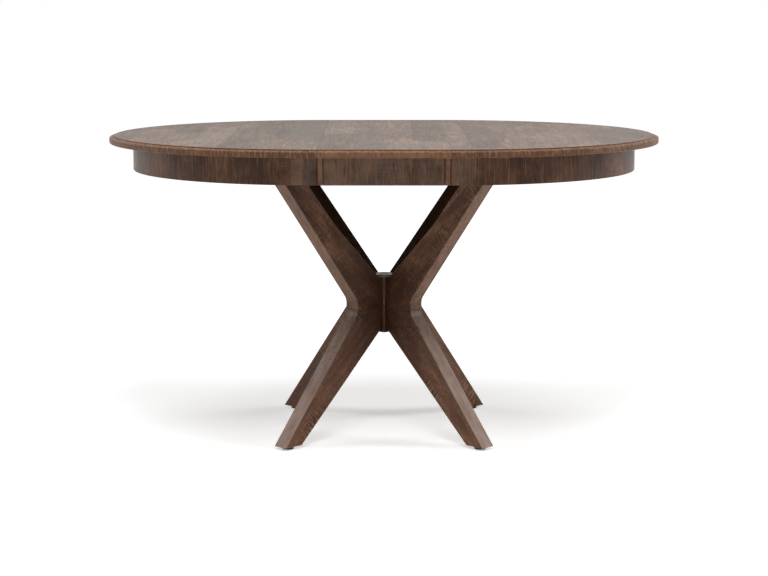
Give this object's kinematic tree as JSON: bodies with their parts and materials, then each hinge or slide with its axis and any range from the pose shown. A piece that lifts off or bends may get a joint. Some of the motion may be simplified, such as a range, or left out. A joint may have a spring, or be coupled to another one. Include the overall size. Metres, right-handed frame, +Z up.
{
  "type": "extending pedestal dining table",
  "caption": "Round dark-stained wooden dining table that opens for a leaf, with a curved apron and bent crossing legs round a square post.",
  "frame": {"origin": "on the floor under the middle of the table", "axes": "+X along the way the top opens, -Y towards the front of the picture, +Z up"},
  "size_m": [1.3716, 1.0668, 0.754],
  "materials": {
    "top_wood": "satin dark stain on maple staves",
    "apron_wood": "satin dark stain, upright grain",
    "strip_wood": "satin dark stain, upright grain",
    "arm_wood": "satin dark stain on maple",
    "leg_wood": "satin dark stain on maple",
    "slide_wood": "plain sealed maple",
    "brushed_cap": "turned and brushed",
    "plated_steel": "zinc plated",
    "pin_brass": "turned",
    "glide_plastic": "moulded"
  },
  "bodies": {
    "pedestal": {"hub_post": "arm_wood", "hub_cap": "brushed_cap", "arm_front_left": "arm_wood", "arm_front_right": "arm_wood", "arm_back_left": "arm_wood", "arm_back_right": "arm_wood", "leg_front_left": "leg_wood", "leg_front_right": "leg_wood", "leg_back_left": "leg_wood", "leg_back_right": "leg_wood", "bearer_left": "slide_wood", "bearer_right": "slide_wood", "rail_front": "slide_wood", "rail_back": "slide_wood", "pinion_pin_front": "plated_steel", "pinion_pin_back": "plated_steel", "lag_bolt_front_left": "plated_steel", "lag_bolt_front_right": "plated_steel", "lag_bolt_back_left": "plated_steel", "lag_bolt_back_right": "plated_steel"},
    "half_left": {"top_half_left": "top_wood", "apron_left": "apron_wood", "alignment_pin_left": "pin_brass", "runner_left_front": "slide_wood", "runner_left_back": "slide_wood", "rack_left_front": "plated_steel", "rack_left_back": "plated_steel", "stud_plate_left_front": "plated_steel", "stud_plate_left_back": "plated_steel"},
    "half_right": {"top_half_right": "top_wood", "apron_right": "apron_wood", "alignment_pin_right": "pin_brass", "runner_right_front": "slide_wood", "runner_right_back": "slide_wood", "rack_right_front": "plated_steel", "rack_right_back": "plated_steel", "lock_plate_right_front": "plated_steel", "lock_plate_right_back": "plated_steel"},
    "leaf": {"leaf_top": "top_wood", "leaf_apron_front": "apron_wood", "leaf_apron_back": "apron_wood", "leaf_strip_left_front": "strip_wood", "leaf_strip_left_back": "strip_wood", "leaf_strip_right_front": "strip_wood", "leaf_strip_right_back": "strip_wood", "lock_plate_left_front": "plated_steel", "lock_plate_left_back": "plated_steel", "stud_plate_right_front": "plated_steel", "stud_plate_right_back": "plated_steel"},
    "pinion_front": {"pinion_front": "plated_steel"},
    "pinion_back": {"pinion_back": "plated_steel"},
    "lock_lever_left_front": {"lock_lever_left_front": "plated_steel"},
    "lock_lever_left_back": {"lock_lever_left_back": "plated_steel"},
    "lock_lever_right_front": {"lock_lever_right_front": "plated_steel"},
    "lock_lever_right_back": {"lock_lever_right_back": "plated_steel"},
    "glide_front_left": {"glide_front_left": "glide_plastic"},
    "glide_front_right": {"glide_front_right": "glide_plastic"},
    "glide_back_left": {"glide_back_left": "glide_plastic"},
    "glide_back_right": {"glide_back_right": "glide_plastic"}
  },
  "joints": [
    {"name": "half_left_slide", "type": "slide", "parent": "pedestal", "child": "half_left", "axis": [-1, 0, 0], "range_m": [0, 0.06]},
    {"name": "half_right_slide", "type": "slide", "parent": "pedestal", "child": "half_right", "axis": [1, 0, 0], "range_m": [0, 0.06]},
    {"name": "leaf_lift", "type": "slide", "parent": "pedestal", "child": "leaf", "axis": [0, 0, 1], "range_m": [0, 0.2]},
    {"name": "pinion_front_turn", "type": "hinge", "parent": "pedestal", "child": "pinion_front", "pos_m": [0, -0.17, 0.725], "axis": [0, 0, 1], "range_deg": [0, 172]},
    {"name": "pinion_back_turn", "type": "hinge", "parent": "pedestal", "child": "pinion_back", "pos_m": [0, 0.17, 0.725], "axis": [0, 0, 1], "range_deg": [-172, 0]},
    {"name": "lock_lever_left_front_turn", "type": "hinge", "parent": "leaf", "child": "lock_lever_left_front", "pos_m": [-0.1244, -0.33, 0.7304], "axis": [0, 0, 1], "range_deg": [-90, 0]},
    {"name": "lock_lever_left_back_turn", "type": "hinge", "parent": "leaf", "child": "lock_lever_left_back", "pos_m": [-0.1244, 0.33, 0.7304], "axis": [0, 0, 1], "range_deg": [0, 90]},
    {"name": "lock_lever_right_front_turn", "type": "hinge", "parent": "half_right", "child": "lock_lever_right_front", "pos_m": [0.1804, -0.33, 0.7304], "axis": [0, 0, 1], "range_deg": [-90, 0]},
    {"name": "lock_lever_right_back_turn", "type": "hinge", "parent": "half_right", "child": "lock_lever_right_back", "pos_m": [0.1804, 0.33, 0.7304], "axis": [0, 0, 1], "range_deg": [0, 90]},
    {"name": "glide_front_left_turn", "type": "hinge", "parent": "pedestal", "child": "glide_front_left", "pos_m": [-0.2339, -0.2339, 0.007], "axis": [0, 0, 1], "continuous": true},
    {"name": "glide_front_right_turn", "type": "hinge", "parent": "pedestal", "child": "glide_front_right", "pos_m": [0.2339, -0.2339, 0.007], "axis": [0, 0, 1], "continuous": true},
    {"name": "glide_back_left_turn", "type": "hinge", "parent": "pedestal", "child": "glide_back_left", "pos_m": [-0.2339, 0.2339, 0.007], "axis": [0, 0, 1], "continuous": true},
    {"name": "glide_back_right_turn", "type": "hinge", "parent": "pedestal", "child": "glide_back_right", "pos_m": [0.2339, 0.2339, 0.007], "axis": [0, 0, 1], "continuous": true}
  ],
  "couplings": [
    {"joint": "half_right_slide", "follows": "half_left_slide", "ratio": 1},
    {"joint": "pinion_front_turn", "follows": "half_left_slide", "rad_per_m": 50},
    {"joint": "pinion_back_turn", "follows": "half_left_slide", "rad_per_m": -50}
  ]
}
